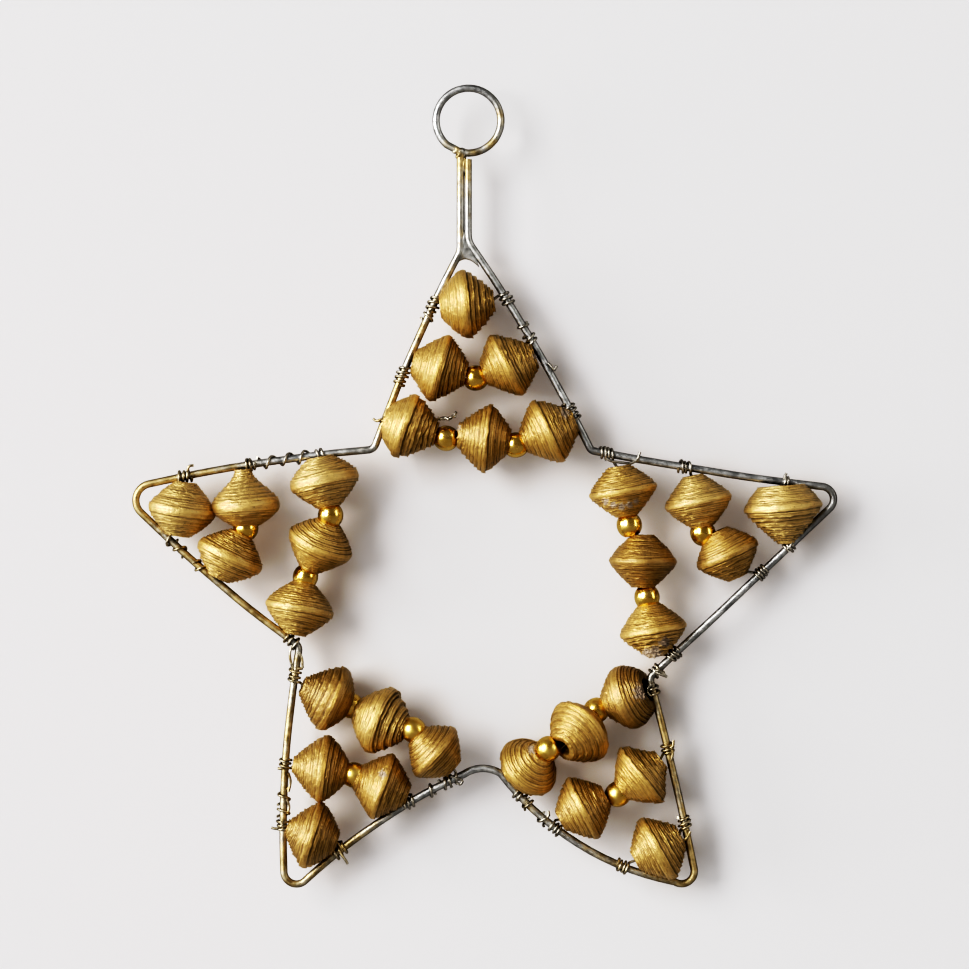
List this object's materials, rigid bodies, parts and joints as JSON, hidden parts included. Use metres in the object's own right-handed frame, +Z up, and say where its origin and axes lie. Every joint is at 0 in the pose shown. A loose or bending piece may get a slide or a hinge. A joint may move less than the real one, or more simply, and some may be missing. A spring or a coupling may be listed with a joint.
{
  "type": "beaded star ornament",
  "caption": "Hanging star bent from one steel wire, each arm filled with rows of rolled-paper beads and small gold balls strung on a thin binding wire.",
  "frame": {"origin": "centre of the hanging ring at the top", "axes": "+Z up along the stem and the star's height, +X to the right across its width, -Y out of its front, so +Y is the hanging ring's own axis"},
  "size_m": [0.0999, 0.011, 0.1138],
  "materials": {
    "gold_painted_paper": "rolled paper strips brushed with satin antique-gold paint",
    "polished_gold": "polished, gold coloured",
    "steel_frame_wire": "drawn galvanised wire, lightly scuffed, with brass-coloured stains",
    "steel_binding_wire": "thin bright drawn wire"
  },
  "bodies": {
    "root": {"binding_wire_bottom_left": "steel_binding_wire", "binding_wire_bottom_right": "steel_binding_wire", "binding_wire_left": "steel_binding_wire", "binding_wire_right": "steel_binding_wire", "binding_wire_top": "steel_binding_wire", "gold_bead_bottom_left_2": "polished_gold", "gold_bead_bottom_left_3a": "polished_gold", "gold_bead_bottom_left_3b": "polished_gold", "gold_bead_bottom_right_2": "polished_gold", "gold_bead_bottom_right_3a": "polished_gold", "gold_bead_bottom_right_3b": "polished_gold", "gold_bead_left_2": "polished_gold", "gold_bead_left_3a": "polished_gold", "gold_bead_left_3b": "polished_gold", "gold_bead_right_2": "polished_gold", "gold_bead_right_3a": "polished_gold", "gold_bead_right_3b": "polished_gold", "gold_bead_top_2": "polished_gold", "gold_bead_top_3a": "polished_gold", "gold_bead_top_3b": "polished_gold", "paper_bead_bottom_left_1": "gold_painted_paper", "paper_bead_bottom_left_2a": "gold_painted_paper", "paper_bead_bottom_left_2b": "gold_painted_paper", "paper_bead_bottom_left_3a": "gold_painted_paper", "paper_bead_bottom_left_3b": "gold_painted_paper", "paper_bead_bottom_left_3c": "gold_painted_paper", "paper_bead_bottom_right_1": "gold_painted_paper", "paper_bead_bottom_right_2a": "gold_painted_paper", "paper_bead_bottom_right_2b": "gold_painted_paper", "paper_bead_bottom_right_3a": "gold_painted_paper", "paper_bead_bottom_right_3b": "gold_painted_paper", "paper_bead_bottom_right_3c": "gold_painted_paper", "paper_bead_left_1": "gold_painted_paper", "paper_bead_left_2a": "gold_painted_paper", "paper_bead_left_2b": "gold_painted_paper", "paper_bead_left_3a": "gold_painted_paper", "paper_bead_left_3b": "gold_painted_paper", "paper_bead_left_3c": "gold_painted_paper", "paper_bead_right_1": "gold_painted_paper", "paper_bead_right_2a": "gold_painted_paper", "paper_bead_right_2b": "gold_painted_paper", "paper_bead_right_3a": "gold_painted_paper", "paper_bead_right_3b": "gold_painted_paper", "paper_bead_right_3c": "gold_painted_paper", "paper_bead_top_1": "gold_painted_paper", "paper_bead_top_2a": "gold_painted_paper", "paper_bead_top_2b": "gold_painted_paper", "paper_bead_top_3a": "gold_painted_paper", "paper_bead_top_3b": "gold_painted_paper", "paper_bead_top_3c": "gold_painted_paper", "star_frame_wire": "steel_frame_wire"}
  },
  "joints": []
}
